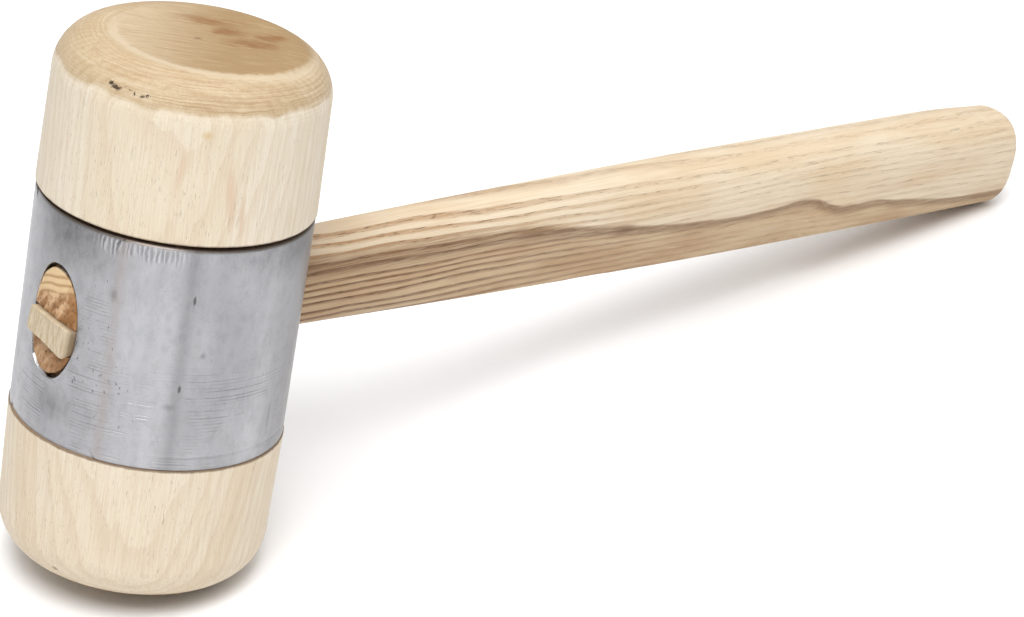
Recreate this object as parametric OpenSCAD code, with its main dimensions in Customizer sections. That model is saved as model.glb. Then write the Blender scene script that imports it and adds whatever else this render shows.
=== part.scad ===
// Carpenter's mallet: two turned hardwood faces pushed into a steel sleeve, with a wedged ash handle.
// +Z runs along the head and +X along the handle to the grip.
// The origin is the centre of the lower striking face.

/* [Head] */
// Outer diameter of the steel sleeve
sleeve_od = 70; // [60:1:80]
// Wall thickness of the steel sleeve
sleeve_wall = 3; // [2:0.5:4]
// Length of the steel sleeve
sleeve_len = 59.5; // [50:0.5:70]
// Length of the lower face below the sleeve
lower_face_len = 39.5; // [30:0.5:50]
// Length of the upper face above its shoulder
upper_face_len = 41; // [30:0.5:50]
// Open joint between the sleeve and the upper face
shoulder_gap = 1; // [0.5:0.5:2]
// How far each face stands out past the sleeve at its shoulder
shoulder_step = 0.3; // [0.1:0.1:1]
// How much narrower a face is where its rim starts to round
face_taper = 0.6; // [0:0.1:1.5]
// Radius of the rounded striking rims
rim_r = 11.5; // [8:0.5:14]
// Gap between the two spigots inside the sleeve
spigot_gap = 1; // [0.5:0.5:3]

/* [Eye] */
// Width of the oval hole through the sleeve
eye_w = 16.4; // [15.4:0.2:17.4]
// Height of the oval hole through the sleeve
eye_h = 31.2; // [31:0.2:34]
// How far the eye sits above the sleeve's middle
eye_rise = 1.2; // [0:0.2:3]

/* [Handle] */
// From the head's axis to the end of the grip
handle_reach = 345; // [280:5:380]
// Angle by which the grip hangs towards the lower face
hang_angle = 1.5; // [0:0.5:2]
// Height of the tenon where it leaves the head on the handle's side
tenon_h = 25; // [23:0.5:26]
// How much higher the wedge spreads the tenon on the other side
tenon_spread = 2.6; // [1:0.2:3]
// How far the tenon stands out of the sleeve
tenon_proud = 0.6; // [0.2:0.2:2]
// Height of the handle at the grip
grip_h = 32.4; // [28:0.2:36]
// Width of the handle next to the head
neck_w = 18; // [17:0.5:19]
// Width of the handle at the grip
grip_w = 24; // [22:0.5:27]
// Rounding of the grip's end
end_round = 5; // [3:0.5:8]

/* [Wedge] */
// Thickness of the wedge at its driven end
wedge_t = 6.5; // [4:0.5:7]
// Thickness of the wedge at its tip
wedge_tip_t = 1.2; // [0.8:0.2:2]
// Length of the wedge
wedge_len = 33; // [20:1:40]
// How far the wedge stands out of the tenon
wedge_proud = 1.3; // [0.5:0.1:3]
// How far the wedge sits below the middle of the tenon
wedge_drop = 1.9; // [0:0.1:2.5]
// Angle of the wedge across the eye
wedge_roll = 6; // [0:1:8]

/* [Hidden] */
$fn = 96;

sleeve_r = sleeve_od / 2;
spigot_r = sleeve_r - sleeve_wall;
sleeve_edge = 0.4;
shoulder_r = sleeve_r + shoulder_step;
rim_start_r = shoulder_r - face_taper;
rim_steps = 12;

sleeve_bottom_z = lower_face_len;
sleeve_top_z = sleeve_bottom_z + sleeve_len;
upper_shoulder_z = sleeve_top_z + shoulder_gap;
head_len = upper_shoulder_z + upper_face_len;
eye_z = sleeve_bottom_z + sleeve_len / 2 + eye_rise;

// The handle sits this far below the middle of the eye, in its own tilted frame
handle_drop = 0.3;
tenon_end_x = -(sleeve_r + tenon_proud);
tenon_root_x = sleeve_r + 5;
// The tenon is this much narrower than the eye on each side
tenon_ease = 0.1;

// The eye and the tenon are ovals a little fuller than ellipses
oval_power = 2.15;
oval_sides = 64;

// The shaped part of the handle is a loft of rounded sections
loft_start_x = sleeve_r + 1;
section_sides = 32;
section_power = 2.5;
shaft_rings = 18;
end_rings = 6;
swell_power = 2.5;
overrun = 2;

// Half outline of a turned face: flat striking end at z = 0, shoulder at face_len, spigot beyond it
function face_outline(face_len, spigot_end) = concat(
    [[0, 0]],
    [for (i = [0 : rim_steps])
        let (a = 90 * i / rim_steps)
        [rim_start_r - rim_r + rim_r * sin(a), rim_r - rim_r * cos(a)]],
    [[shoulder_r, face_len], [spigot_r, face_len], [spigot_r, spigot_end], [0, spigot_end]]
);

// How far the handle has swollen from neck to grip, from 0 to 1, at t from 0 to 1 along its shaft
function swell(t) = 1 - pow(1 - t, swell_power);
function half_height(t) = tenon_h / 2 + (grip_h - tenon_h) / 2 * swell(t);
function half_width(t) = neck_w / 2 + (grip_w - neck_w) / 2 * swell(t);

// Half the tenon's height at x; the wedge spreads it towards its driven end
function tenon_half_h(x) =
    tenon_h / 2 + tenon_spread / 2 * (tenon_root_x - x) / (tenon_root_x - tenon_end_x);

// Outline of an oval between an ellipse and a rectangle; a higher power makes it squarer
function signed_power(v, power) = sign(v) * pow(abs(v), 2 / power);
function oval(half_w, half_h, sides, power) = [for (k = [0 : sides - 1])
    let (a = 360 * k / sides)
    [half_w * signed_power(cos(a), power), half_h * signed_power(sin(a), power)]];

// One ring of a loft along x
function ring(x, half_w, half_h, sides = section_sides, power = section_power) =
    [for (p = oval(half_w, half_h, sides, power)) [x, p[0], p[1]]];

// Faces of a loft of rings: triangles round its sides and a cap at each end
function loft_faces(last_ring, sides) = concat(
    [[for (k = [0 : sides - 1]) k]],
    [for (i = [0 : last_ring - 1], k = [0 : sides - 1])
        let (next = (k + 1) % sides, low = i * sides, high = low + sides)
        each [[low + k, high + k, low + next], [low + next, high + k, high + next]]],
    [[for (k = [sides - 1 : -1 : 0]) last_ring * sides + k]]
);

shaft_end_x = handle_reach - end_round;
shaft_points = [for (i = [0 : shaft_rings])
    let (t = i / shaft_rings)
    each ring(loft_start_x + (shaft_end_x - loft_start_x) * t, half_width(t), half_height(t))];
end_points = [for (j = [1 : end_rings])
    let (a = 90 * j / end_rings)
    each ring(shaft_end_x + end_round * sin(a),
              half_width(1) - end_round * (1 - cos(a)),
              half_height(1) - end_round * (1 - cos(a)))];

// Places its children in the handle's own frame: x along the handle, centred on the eye
module in_handle_frame() {
    translate([0, 0, eye_z]) rotate([0, hang_angle, 0]) translate([0, 0, -handle_drop]) children();
}

// The tenon: an oval bar, cut from one long loft so that every use of it has the same sides
module tenon_core(x_start, x_end) {
    half_w = eye_w / 2 - tenon_ease;
    points = [for (x = [-sleeve_od, tenon_root_x])
        each ring(x, half_w, tenon_half_h(x), oval_sides, oval_power)];
    intersection() {
        polyhedron(points = points, faces = loft_faces(1, oval_sides), convexity = 2);
        translate([x_start, -sleeve_od, -sleeve_od])
            cube([x_end - x_start, 2 * sleeve_od, 2 * sleeve_od]);
    }
}

// The wedge's plain tapered slab, before it is trimmed to the tenon's sides
module wedge_slab() {
    wedge_end_x = tenon_end_x - wedge_proud;
    translate([0, 0, -wedge_drop])
        rotate([wedge_roll, 0, 0])
            rotate([90, 0, 0])
                linear_extrude(height = 2 * eye_w, center = true)
                    polygon([
                        [wedge_end_x, wedge_t / 2],
                        [wedge_end_x, -wedge_t / 2],
                        [wedge_end_x + wedge_len, -wedge_tip_t / 2],
                        [wedge_end_x + wedge_len, wedge_tip_t / 2]
                    ]);
}

// The hole that the tenon fills in both wooden spigots
module mortise() {
    in_handle_frame() tenon_core(-sleeve_od + overrun, tenon_root_x - overrun);
}

module lower_face() {
    color("wheat") difference() {
        rotate_extrude() polygon(face_outline(lower_face_len, eye_z - spigot_gap / 2));
        mortise();
    }
}

module upper_face() {
    spigot_end = head_len - eye_z - spigot_gap / 2;
    color("blanchedalmond") difference() {
        translate([0, 0, head_len]) mirror([0, 0, 1])
            rotate_extrude() polygon(face_outline(upper_face_len, spigot_end));
        mortise();
    }
}

module steel_sleeve() {
    color("silver") difference() {
        translate([0, 0, sleeve_bottom_z]) rotate_extrude() polygon([
            [spigot_r, 0],
            [sleeve_r - sleeve_edge, 0],
            [sleeve_r, sleeve_edge],
            [sleeve_r, sleeve_len - sleeve_edge],
            [sleeve_r - sleeve_edge, sleeve_len],
            [spigot_r, sleeve_len]
        ]);
        translate([0, 0, eye_z]) rotate([90, 0, 90])
            linear_extrude(height = 2 * sleeve_od, center = true)
                polygon(oval(eye_w / 2, eye_h / 2, oval_sides, oval_power));
    }
}

module handle() {
    color("burlywood") in_handle_frame() difference() {
        union() {
            tenon_core(tenon_end_x, tenon_root_x - overrun);
            polyhedron(points = concat(shaft_points, end_points),
                       faces = loft_faces(shaft_rings + end_rings, section_sides), convexity = 4);
        }
        wedge_slab();
    }
}

module wedge() {
    color("moccasin") in_handle_frame() intersection() {
        wedge_slab();
        tenon_core(tenon_end_x - wedge_proud - overrun, tenon_root_x - overrun);
    }
}

lower_face();
upper_face();
steel_sleeve();
handle();
wedge();
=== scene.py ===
"""Looks for the wooden mallet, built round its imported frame.

Every mesh is made in the frame's own axes: +Z along the head, +X along the handle, metres.
Lengths below are in millimetres and are turned into metres where a mesh is made.
"""

import math

import bpy
import numpy as np
from mathutils import Matrix, Vector


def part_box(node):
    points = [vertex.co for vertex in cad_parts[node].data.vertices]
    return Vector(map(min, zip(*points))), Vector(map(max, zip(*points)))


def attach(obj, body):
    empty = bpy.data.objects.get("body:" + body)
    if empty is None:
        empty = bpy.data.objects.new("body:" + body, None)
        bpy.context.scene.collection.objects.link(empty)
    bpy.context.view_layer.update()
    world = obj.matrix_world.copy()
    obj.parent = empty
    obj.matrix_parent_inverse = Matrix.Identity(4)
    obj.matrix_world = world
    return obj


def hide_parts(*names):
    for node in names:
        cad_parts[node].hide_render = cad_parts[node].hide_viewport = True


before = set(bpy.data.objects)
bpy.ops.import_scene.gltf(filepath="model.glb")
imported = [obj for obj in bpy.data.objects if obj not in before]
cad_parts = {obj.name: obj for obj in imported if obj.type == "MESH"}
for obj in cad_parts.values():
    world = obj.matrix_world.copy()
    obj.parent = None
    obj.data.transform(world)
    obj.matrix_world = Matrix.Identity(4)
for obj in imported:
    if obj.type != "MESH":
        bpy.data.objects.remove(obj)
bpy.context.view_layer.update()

MM = 0.001

# ---------------------------------------------------------------- sizes, mm

sleeve_low, sleeve_high = (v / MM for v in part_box("steel_sleeve"))
upper_low, upper_high = (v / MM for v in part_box("upper_face"))
lower_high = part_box("lower_face")[1] / MM

SLEEVE_R = sleeve_high.x
SLEEVE_WALL = 3.0
SPIGOT_R = SLEEVE_R - SLEEVE_WALL
HEAD_TOP = upper_high.z
SHOULDER_R = upper_high.x
SHOULDER_GAP = 1.0
FACE_TAPER = 0.6
RIM_START_R = SHOULDER_R - FACE_TAPER
RIM_R = 11.5
FLAT_R = RIM_START_R - RIM_R
WORN_OFF = (3.0, -2.4)
LOWER_SHOULDER_Z = sleeve_low.z
UPPER_SHOULDER_Z = sleeve_high.z + SHOULDER_GAP
EYE_RISE = 1.2
EYE_Z = (sleeve_low.z + sleeve_high.z) / 2 + EYE_RISE
EYE_HALF_W = 8.2
EYE_HALF_H = 15.6
TENON_EASE = 0.1
TENON_HALF_W = EYE_HALF_W - TENON_EASE
OVAL_POWER = 2.15

HANG = math.radians(1.5)
HANDLE_DROP = 0.3
TENON_HALF_ROOT = 12.5
TENON_SPREAD = 1.3
TENON_ROOT_X = SLEEVE_R + 5
TENON_PROUD = 0.6
TENON_END_X = -(SLEEVE_R + TENON_PROUD)
GRIP_END_X = 345.0
END_ROUND = 5.0
NECK_HALF_W, GRIP_HALF_W = 9.0, 12.0
GRIP_HALF_H = 16.2

# the ridge along each flank of the handle: its height at the head, then its falls and its two humps
FLANK_START = 8.0
FLANK_FALLS = ((100, 205, -8.2), (243, 259, -3.6), (266, 332, -5.0))
FLANK_HUMPS = ((237, 14, 1.2), (275, 10, 0.6))


def in_handle_frame(points):
    """Turns points from the handle's frame, along x and centred on the eye, into the mallet's."""
    x, y, z = points[:, 0], points[:, 1], points[:, 2] - HANDLE_DROP
    c, s = math.cos(HANG), math.sin(HANG)
    return np.stack([x * c + z * s, y, -x * s + z * c + EYE_Z], axis=1)


# ---------------------------------------------------------------- mesh helpers

def smooth_noise(points, size, seed, waves=24):
    """A gentle random surface from -1 to 1 or so: plane waves about `size` mm long."""
    rng = np.random.default_rng(seed)
    directions = rng.normal(size=(waves, points.shape[1]))
    directions /= np.linalg.norm(directions, axis=1)[:, None]
    lengths = size * rng.uniform(0.7, 1.6, waves)
    phases = rng.uniform(0, 2 * math.pi, waves)
    angles = points @ directions.T * (2 * math.pi / lengths) + phases
    return np.clip(np.sin(angles).sum(axis=1) * math.sqrt(2 / waves) / 1.6, -1, 1)


def ramp(value, low, high):
    """Smoothly 0 below low and 1 above high."""
    t = np.clip((value - low) / (high - low), 0, 1)
    return t * t * (3 - 2 * t)


def make_piece(name, points, faces, material, node, sharp_angle=38):
    """A mesh object from points in mm. It rides on the root body and stands for a CAD node."""
    mesh = bpy.data.meshes.new(name)
    mesh.from_pydata((points * MM).tolist(), [], faces)
    mesh.validate()
    mesh.update()
    mesh.materials.append(material)
    mesh.polygons.foreach_set("use_smooth", [True] * len(mesh.polygons))
    mesh.set_sharp_from_angle(angle=math.radians(sharp_angle))
    piece = bpy.data.objects.new(name, mesh)
    bpy.context.scene.collection.objects.link(piece)
    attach(piece, "root")
    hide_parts(node)
    return piece


def loft_faces(rings, sides, flip=False):
    """Quads between rings of points, each ring closed on itself."""
    faces = []
    for i in range(rings - 1):
        for k in range(sides):
            n = (k + 1) % sides
            quad = (i * sides + k, i * sides + n, (i + 1) * sides + n, (i + 1) * sides + k)
            faces.append(quad[::-1] if flip else quad)
    return faces


def cut_away(piece, cutter_points, cutter_faces):
    """Subtracts a closed mesh from a piece, and leaves no cutter behind."""
    mesh = bpy.data.meshes.new("cutter")
    mesh.from_pydata((cutter_points * MM).tolist(), [], cutter_faces)
    mesh.update()
    cutter = bpy.data.objects.new("cutter", mesh)
    bpy.context.scene.collection.objects.link(cutter)
    modifier = piece.modifiers.new("cut", "BOOLEAN")
    modifier.operation = "DIFFERENCE"
    modifier.solver = "EXACT"
    modifier.object = cutter
    bpy.context.view_layer.update()
    evaluated = piece.evaluated_get(bpy.context.evaluated_depsgraph_get())
    result = bpy.data.meshes.new_from_object(evaluated)
    piece.modifiers.clear()
    old = piece.data
    piece.data = result
    result.name = old.name
    bpy.data.meshes.remove(old)
    bpy.data.objects.remove(cutter)
    bpy.data.meshes.remove(mesh)


# ---------------------------------------------------------------- material helpers

class Shader:
    """A node material, with short calls for the nodes used here."""

    def __init__(self, name):
        self.material = bpy.data.materials.new(name)
        self.material.use_nodes = True
        self.tree = self.material.node_tree
        self.surface = self.tree.nodes["Principled BSDF"]
        self.place = self.node("ShaderNodeTexCoord").outputs["Object"]
        self.mm = self.vector("SCALE", self.place, scale=1 / MM)
        self.x, self.y, self.z = self.node("ShaderNodeSeparateXYZ", self.mm).outputs

    def node(self, kind, *values, **settings):
        made = self.tree.nodes.new(kind)
        for key, value in settings.items():
            setattr(made, key, value)
        for socket, value in zip(made.inputs, values):
            self.feed(socket, value)
        return made

    def feed(self, socket, value):
        if isinstance(value, bpy.types.NodeSocket):
            self.tree.links.new(value, socket)
        elif value is not None:
            socket.default_value = value

    def math(self, operation, a, b=None, c=None, clamp=False):
        return self.node("ShaderNodeMath", a, b, c, operation=operation, use_clamp=clamp).outputs[0]

    def vector(self, operation, a, b=None, scale=None):
        made = self.node("ShaderNodeVectorMath", a, b, operation=operation)
        if scale is not None:
            self.feed(made.inputs["Scale"], scale)
        wants_number = operation in ("LENGTH", "DOT_PRODUCT", "DISTANCE")
        return made.outputs["Value" if wants_number else "Vector"]

    def combine(self, x, y, z):
        return self.node("ShaderNodeCombineXYZ", x, y, z).outputs[0]

    def noise(self, place, scale=1.0, detail=2.0, roughness=0.5, distortion=0.0):
        made = self.node("ShaderNodeTexNoise")
        for key, value in (("Vector", place), ("Scale", scale), ("Detail", detail),
                           ("Roughness", roughness), ("Distortion", distortion)):
            self.feed(made.inputs[key], value)
        return made.outputs["Fac"]

    def stretch(self, x, y, z, place=None):
        """The place in mm, scaled by its own factor along each axis."""
        return self.vector("MULTIPLY", self.mm if place is None else place, (x, y, z))

    def step(self, value, low, high):
        """Smoothly 0 below low and 1 above high; the other way round if low is above high."""
        made = self.node("ShaderNodeMapRange", value, interpolation_type="SMOOTHSTEP", clamp=True)
        self.feed(made.inputs["From Min"], low)
        self.feed(made.inputs["From Max"], high)
        return made.outputs[0]

    def mix(self, amount, a, b, blend="MIX"):
        made = self.tree.nodes.new("ShaderNodeMix")
        made.data_type = "RGBA"
        made.blend_type = blend
        self.feed(made.inputs[0], amount)
        self.feed(made.inputs[6], a)
        self.feed(made.inputs[7], b)
        return made.outputs[2]

    def paint(self, base, shade, *amounts):
        """Lays an sRGB shade over a base colour, by the product of the amounts."""
        return self.mix(self.times(*amounts), base, rgb(*shade))

    def washes(self, base, *layers):
        """Paints shades in turn, each where its value passes from low to high."""
        for value, low, high, amount, shade in layers:
            base = self.paint(base, shade, self.step(value, low, high), amount)
        return base

    def bump(self, height, distance, strength=1.0, normal=None):
        made = self.tree.nodes.new("ShaderNodeBump")
        made.inputs["Strength"].default_value = strength
        made.inputs["Distance"].default_value = distance * MM
        self.feed(made.inputs["Height"], height)
        if normal is not None:
            self.feed(made.inputs["Normal"], normal)
        return made.outputs[0]

    def spot(self, place, centre, size, soft=0.5):
        """1 near a point of the frame and 0 away from it; size is the reach in mm on each axis."""
        offset = self.vector("SUBTRACT", place, centre)
        reach = self.vector("LENGTH", self.vector("DIVIDE", offset, size))
        return self.step(reach, 1.0, 1.0 - soft)

    def add(self, *terms):
        total = terms[0]
        for term in terms[1:]:
            total = self.math("ADD", total, term)
        return total

    def times(self, *factors):
        total = factors[0]
        for factor in factors[1:]:
            total = self.math("MULTIPLY", total, factor)
        return total

    def largest(self, *values):
        total = values[0]
        for value in values[1:]:
            total = self.math("MAXIMUM", total, value)
        return total


LIT = 1.33


def rgb(r, g, b):
    """The linear colour that looks like this sRGB colour, out of 255, under lights of LIT."""
    def linear(v):
        v /= 255
        return (v / 12.92 if v <= 0.04045 else ((v + 0.055) / 1.055) ** 2.4) / LIT
    return (linear(r), linear(g), linear(b), 1.0)


def head_point(azimuth, radius, z):
    """A point on the head, from its angle round the axis in degrees."""
    a = math.radians(azimuth)
    return (radius * math.cos(a), radius * math.sin(a), z)


# ---------------------------------------------------------------- wood of the two faces

# a direction across the faces: their streaks run along it
STREAK_X, STREAK_Y = 0.704, -0.690

# stains on the flat of a face: along the streaks, across them, and the reach each way
FIRST_STAIN = ((1.5, 13.5, 0.0), (10.0, 5.0, 1.0))
STAINS = (((6.0, 7.5, 0.0), (6.0, 5.5, 1.0)), ((13.0, 1.0, 0.0), (10.0, 4.6, 1.0)),
          ((17.0, 7.5, 0.0), (6.0, 5.0, 1.0)))


def face_rings(s, moved, seed):
    """Growth rings: their pith lies behind the head, so the front is flat-sawn and the flanks are not."""
    warp = s.noise(s.stretch(0.035, 0.035, 0.012, moved), detail=3.0)
    fine_warp = s.noise(s.stretch(0.22, 0.22, 0.02, moved), detail=2.0)
    lean = s.combine(s.times(s.z, 0.07), s.times(s.z, 0.05), 0.0)
    pith = s.vector("ADD", lean, (70.0, 64.0, 0.0))
    ring_place = s.vector("SUBTRACT", s.combine(s.x, s.y, 0.0), pith)
    ring = s.add(s.vector("LENGTH", ring_place), s.times(warp, 8.0), s.times(fine_warp, 1.4))
    saw = s.math("FRACT", s.times(ring, 1 / 2.1))
    late = s.times(s.step(saw, 0.40, 0.93), s.step(saw, 1.0, 0.95))
    broad = s.noise(s.combine(s.times(ring, 0.16), s.times(s.z, 0.004), seed), detail=2.0)
    return warp, late, broad


def face_fibres(s, moved):
    """Fibres, threads of colour, pores, and rays that show as flecks in places."""
    fibre = s.noise(s.stretch(3.4, 3.4, 0.07, moved), detail=4.0, roughness=0.68)
    threads = s.noise(s.stretch(1.3, 1.3, 0.025, moved), detail=3.0, roughness=0.6)
    pore = s.step(s.noise(s.stretch(4.2, 4.2, 0.42, moved), detail=2.0), 0.64, 0.74)
    fleck = s.step(s.noise(s.stretch(2.2, 2.2, 0.28, moved), detail=2.0), 0.68, 0.76)
    where = s.step(s.noise(s.stretch(0.07, 0.07, 0.05, moved), detail=2.0), 0.44, 0.62)
    return fibre, threads, pore, s.times(fleck, where)


def face_side(s, tint, late, broad, fibres):
    """The colour along the grain."""
    fibre, threads, pore, fleck = fibres
    pale, warm, rosy = tint
    side = s.mix(s.step(broad, 0.35, 0.65), pale, warm)
    side = s.paint(side, (216, 190, 154), late, 0.28)
    side = s.mix(s.times(s.step(threads, 0.48, 0.62), 0.40), side, rosy)
    side = s.washes(side, (fibre, 0.46, 0.68, 0.34, (218, 198, 168)), (fibre, 0.50, 0.30, 0.34,
                    (253, 247, 234)))
    side = s.paint(side, (186, 158, 124), pore, 0.26)
    return s.paint(side, (150, 120, 90), fleck, 0.42)


def face_end(s, moved, depth, along, seed, warp, late):
    """End grain: browner, with fine turning lines round the rim and faint rings."""
    radius = s.vector("LENGTH", s.combine(s.x, s.y, 0.0))
    wobble = s.noise(s.stretch(0.5, 0.5, 0.5, moved), detail=2.0)
    lines = s.add(s.times(radius, 1.7), s.times(depth, 1.9), s.times(wobble, 1.3), s.times(warp, 5.0))
    turn = s.times(s.math("ARCTAN2", s.y, s.x), 1.2)
    turning = s.noise(s.combine(lines, turn, seed), detail=3.0, roughness=0.62)
    mottle = s.noise(s.stretch(0.55, 0.55, 0.55, moved), detail=4.0, roughness=0.7)
    dots = s.noise(s.stretch(3.4, 3.4, 3.4, moved), detail=3.0, roughness=0.7)
    end = s.mix(s.step(warp, 0.3, 0.7), rgb(222, 201, 168), rgb(207, 181, 143))
    end = s.washes(end, (mottle, 0.44, 0.62, 0.40, (196, 165, 125)))
    end = s.paint(end, (180, 147, 106), late, 0.22)
    lined = s.add(0.18, s.times(s.step(along, -24.0, -6.0), 0.38))
    end = s.paint(end, (178, 147, 108), s.step(turning, 0.48, 0.64), lined)
    end = s.washes(end, (turning, 0.48, 0.34, 0.40, (236, 219, 191)), (dots, 0.52, 0.68, 0.30,
                   (184, 150, 108)),
                   (dots, 0.48, 0.34, 0.25, (246, 230, 202)))
    behind = s.step(s.add(s.times(s.x, 0.7), s.times(s.y, 0.45)), -4.0, 26.0)
    return s.paint(end, (172, 143, 106), behind, 0.55), wobble, turning, dots


def face_flat(s, across, along, seed):
    """The flat of the face is stained and streaked, with one nick near its middle."""
    streak_place = s.combine(s.times(across, 1.5), s.times(along, 0.10), seed + 4.0)
    streaks = s.noise(streak_place, detail=4.0, roughness=0.65)
    flat = s.mix(s.step(along, -22.0, 10.0), rgb(217, 194, 161), rgb(178, 147, 104))
    flat = s.washes(flat, (streaks, 0.46, 0.66, 0.50, (168, 136, 94)), (streaks, 0.48, 0.32, 0.35,
                    (222, 199, 160)))
    ragged_place = s.combine(s.times(across, 0.30), s.times(along, 0.16), seed + 2.0)
    ragged = s.noise(ragged_place, detail=4.0, roughness=0.6)
    slip = s.times(s.math("SUBTRACT", ragged, 0.5), 14.0)
    spread = s.combine(s.add(along, slip), s.add(across, s.times(slip, 0.7)), 0.0)
    stain = s.largest(*(s.spot(spread, centre, size, soft=1.0) for centre, size in (FIRST_STAIN, *STAINS)))
    flat = s.paint(flat, (146, 96, 44), stain, s.add(0.40, s.times(streaks, 0.65)))
    nick = s.spot(s.combine(s.x, s.y, 0.0), (-0.4, -0.2, 0.0), (1.5, 1.2, 1.0), soft=0.8)
    return s.paint(flat, (118, 92, 58), nick, 0.6)


def worn_edge(s, end, flat, across, wobble, dots):
    """The flat takes over from the end grain at a paler worn edge."""
    off_centre = s.vector("LENGTH", s.combine(s.add(s.x, -WORN_OFF[0]), s.add(s.y, -WORN_OFF[1]), 0.0))
    flat_edge = s.add(off_centre, s.times(wobble, 1.8), -1.9)
    end = s.mix(s.step(flat_edge, FLAT_R + 1.6, FLAT_R - 0.6), end, flat)
    worn = s.times(s.step(flat_edge, FLAT_R - 1.4, FLAT_R + 0.4),
                   s.step(flat_edge, FLAT_R + 3.2, FLAT_R + 0.8))
    near_side = s.step(across, 14.0, -12.0)
    return s.paint(end, (232, 215, 186), worn, near_side, s.add(0.15, s.times(dots, 0.9)))


def face_wood(name, strike_z, into, seed, tint, end_depth):
    """Pale turned hardwood. Its fibres run along the head, so the struck end and its rim show end grain.

    strike_z is the height of the striking face, into is +1 or -1, the way that leads into the head, and
    the browner end grain reaches end_depth down the rim.
    """
    s = Shader(name)
    depth = s.math("MULTIPLY", s.math("SUBTRACT", s.z, strike_z), into)
    moved = s.vector("ADD", s.mm, (seed * 7.3, seed * 3.1, 0.0))
    across = s.add(s.times(s.x, -STREAK_Y), s.times(s.y, STREAK_X))
    along = s.add(s.times(s.x, STREAK_X), s.times(s.y, STREAK_Y))
    warp, late, broad = face_rings(s, moved, seed)
    fibres = face_fibres(s, moved)
    fibre, threads, pore, fleck = fibres
    side = face_side(s, tint, late, broad, fibres)
    end, wobble, turning, dots = face_end(s, moved, depth, along, seed, warp, late)
    end = worn_edge(s, end, face_flat(s, across, along, seed), across, wobble, dots)

    # side and end meet part of the way down the rim
    wander = s.noise(s.stretch(0.09, 0.09, 0.09, moved), detail=1.0)
    edge = s.add(depth, s.times(s.math("SUBTRACT", fibre, 0.5), 1.6),
                 s.times(s.math("SUBTRACT", wobble, 0.5), 0.9),
                 s.times(s.math("SUBTRACT", wander, 0.5), 4.0))
    on_end = s.step(edge, end_depth + 0.8, end_depth - 0.6)
    colour = s.mix(on_end, side, end)
    roughness = s.add(0.50, s.times(fibre, 0.16), s.times(on_end, -0.05))

    height = s.add(s.times(fibre, 0.5), s.times(pore, -0.5), s.times(fleck, -0.5))
    rim_height = s.add(s.times(turning, 0.8), s.times(dots, 0.35))
    height = s.add(s.times(height, s.math("SUBTRACT", 1.0, on_end)), s.times(rim_height, on_end))
    return s, colour, roughness, height, depth


def finish_wood(s, colour, roughness, height, distance=0.12):
    s.feed(s.surface.inputs["Base Color"], colour)
    s.feed(s.surface.inputs["Roughness"], roughness)
    s.feed(s.surface.inputs["Normal"], s.bump(height, distance))
    s.surface.inputs["Specular IOR Level"].default_value = 0.28
    return s.material


def shoulder_shade_line(s, colour, depth, face_len):
    """A dark line painted where a face meets the steel: painted shade in the gap at the steel's edge, with
    the wood inside the gap painted paler.
    """
    ragged = s.noise(s.stretch(0.5, 0.5, 0.5), detail=3.0)
    edge = s.add(depth, s.times(ragged, 0.5))
    edge_shade = s.step(edge, face_len - 0.35, face_len + 0.15)
    # painted shade along the face's shoulder, in the gap at the steel's edge
    colour = s.paint(colour, (104, 76, 50), edge_shade, 0.8)
    inside = s.step(depth, face_len - 0.02, face_len + 0.02)
    return s.mix(s.times(inside, 0.9), colour, rgb(214, 172, 126))


def upper_face_material():
    tint = (rgb(247, 235, 214), rgb(241, 226, 199), rgb(236, 214, 190))
    s, colour, roughness, height, depth = face_wood("upper_face_wood", HEAD_TOP, -1, 0.0, tint, 7.6)
    # a bark inclusion on the rim: one dark fleck and a trail of small ones
    ragged = s.math("SUBTRACT", s.noise(s.stretch(1.6, 1.6, 1.6), detail=3.0), 0.5)
    shift = s.vector("SCALE", s.combine(ragged, s.times(ragged, -1.0), ragged), scale=1.5)
    near = s.vector("ADD", s.mm, shift)
    dark = s.spot(near, head_point(-164.6, 33.2, 135.2), (1.0, 2.0, 0.75), soft=0.6)
    for azimuth, z, size in ((-167.6, 135.7, 0.75), (-160.4, 136.0, 0.40), (-158.0, 135.6, 0.36),
                             (-155.6, 135.1, 0.55), (-152.2, 134.9, 0.60), (-150.2, 135.2, 0.55),
                             (-161, 138.6, 0.45)):
        dot = s.spot(near, head_point(azimuth, 33.0, z), (size, size * 1.5, size * 0.8), soft=0.6)
        dark = s.math("MAXIMUM", dark, dot)
    colour = s.paint(colour, (58, 38, 24), dark, 0.92)
    # rosy streaks and a small yellow knot below the rim
    for azimuth, lean, z, wide, tall in ((-132, 0.10, 119, 1.1, 10), (-111, -0.12, 114, 1.5, 13),
                                         (-105, -0.05, 108, 0.9, 9)):
        px, py, pz = head_point(azimuth, SHOULDER_R, z)
        slant = s.times(s.math("SUBTRACT", s.z, pz), lean)
        moved = s.combine(s.add(s.x, s.times(slant, math.sin(math.radians(azimuth)))),
                          s.add(s.y, s.times(slant, -math.cos(math.radians(azimuth)))), s.z)
        streak = s.spot(moved, (px, py, pz), (wide * 1.4, wide * 1.4, tall), soft=0.95)
        colour = s.paint(colour, (222, 184, 152), streak, 0.50)
    knot = s.spot(s.mm, head_point(-123.5, 34.7, 128.6), (2.2, 2.2, 1.5), soft=0.95)
    colour = s.paint(colour, (226, 194, 142), knot, 0.7)
    colour = shoulder_shade_line(s, colour, depth, HEAD_TOP - UPPER_SHOULDER_Z)
    height = s.add(height, s.times(dark, -1.0))
    return finish_wood(s, colour, roughness, height)


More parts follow.
